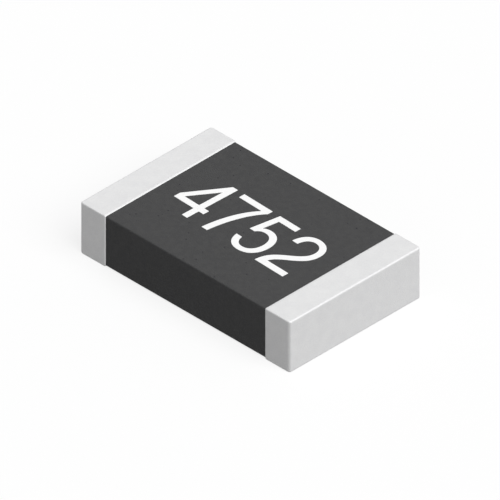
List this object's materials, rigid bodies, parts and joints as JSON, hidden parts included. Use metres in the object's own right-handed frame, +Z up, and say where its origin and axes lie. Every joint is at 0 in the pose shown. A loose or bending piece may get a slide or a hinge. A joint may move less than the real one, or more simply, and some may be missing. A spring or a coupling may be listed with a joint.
{
  "type": "ceramic chip capacitor",
  "caption": "Flat rectangular multilayer ceramic chip capacitor with a metal cap wrapped round each end, for soldering onto a circuit board.",
  "frame": {"origin": "centre of the underside, at the height of the board that the chip stands on", "axes": "+X along the length from the left end to the right end, +Y across the width, +Z up out of the marked face"},
  "size_m": [0.002, 0.0012, 0.0004],
  "materials": {
    "fired_ceramic": "dark grey unglazed fired ceramic, satin",
    "electrode_nickel": "dull sintered nickel",
    "fired_copper": "dull fired copper",
    "plated_nickel": "satin plated nickel",
    "matte_tin": "matte white tin plating"
  },
  "bodies": {
    "root": {"ceramic_body": "fired_ceramic", "left_electrodes": "electrode_nickel", "right_electrodes": "electrode_nickel", "left_copper_termination": "fired_copper", "right_copper_termination": "fired_copper", "left_nickel_barrier": "plated_nickel", "right_nickel_barrier": "plated_nickel", "left_tin_plating": "matte_tin", "right_tin_plating": "matte_tin"}
  },
  "joints": []
}
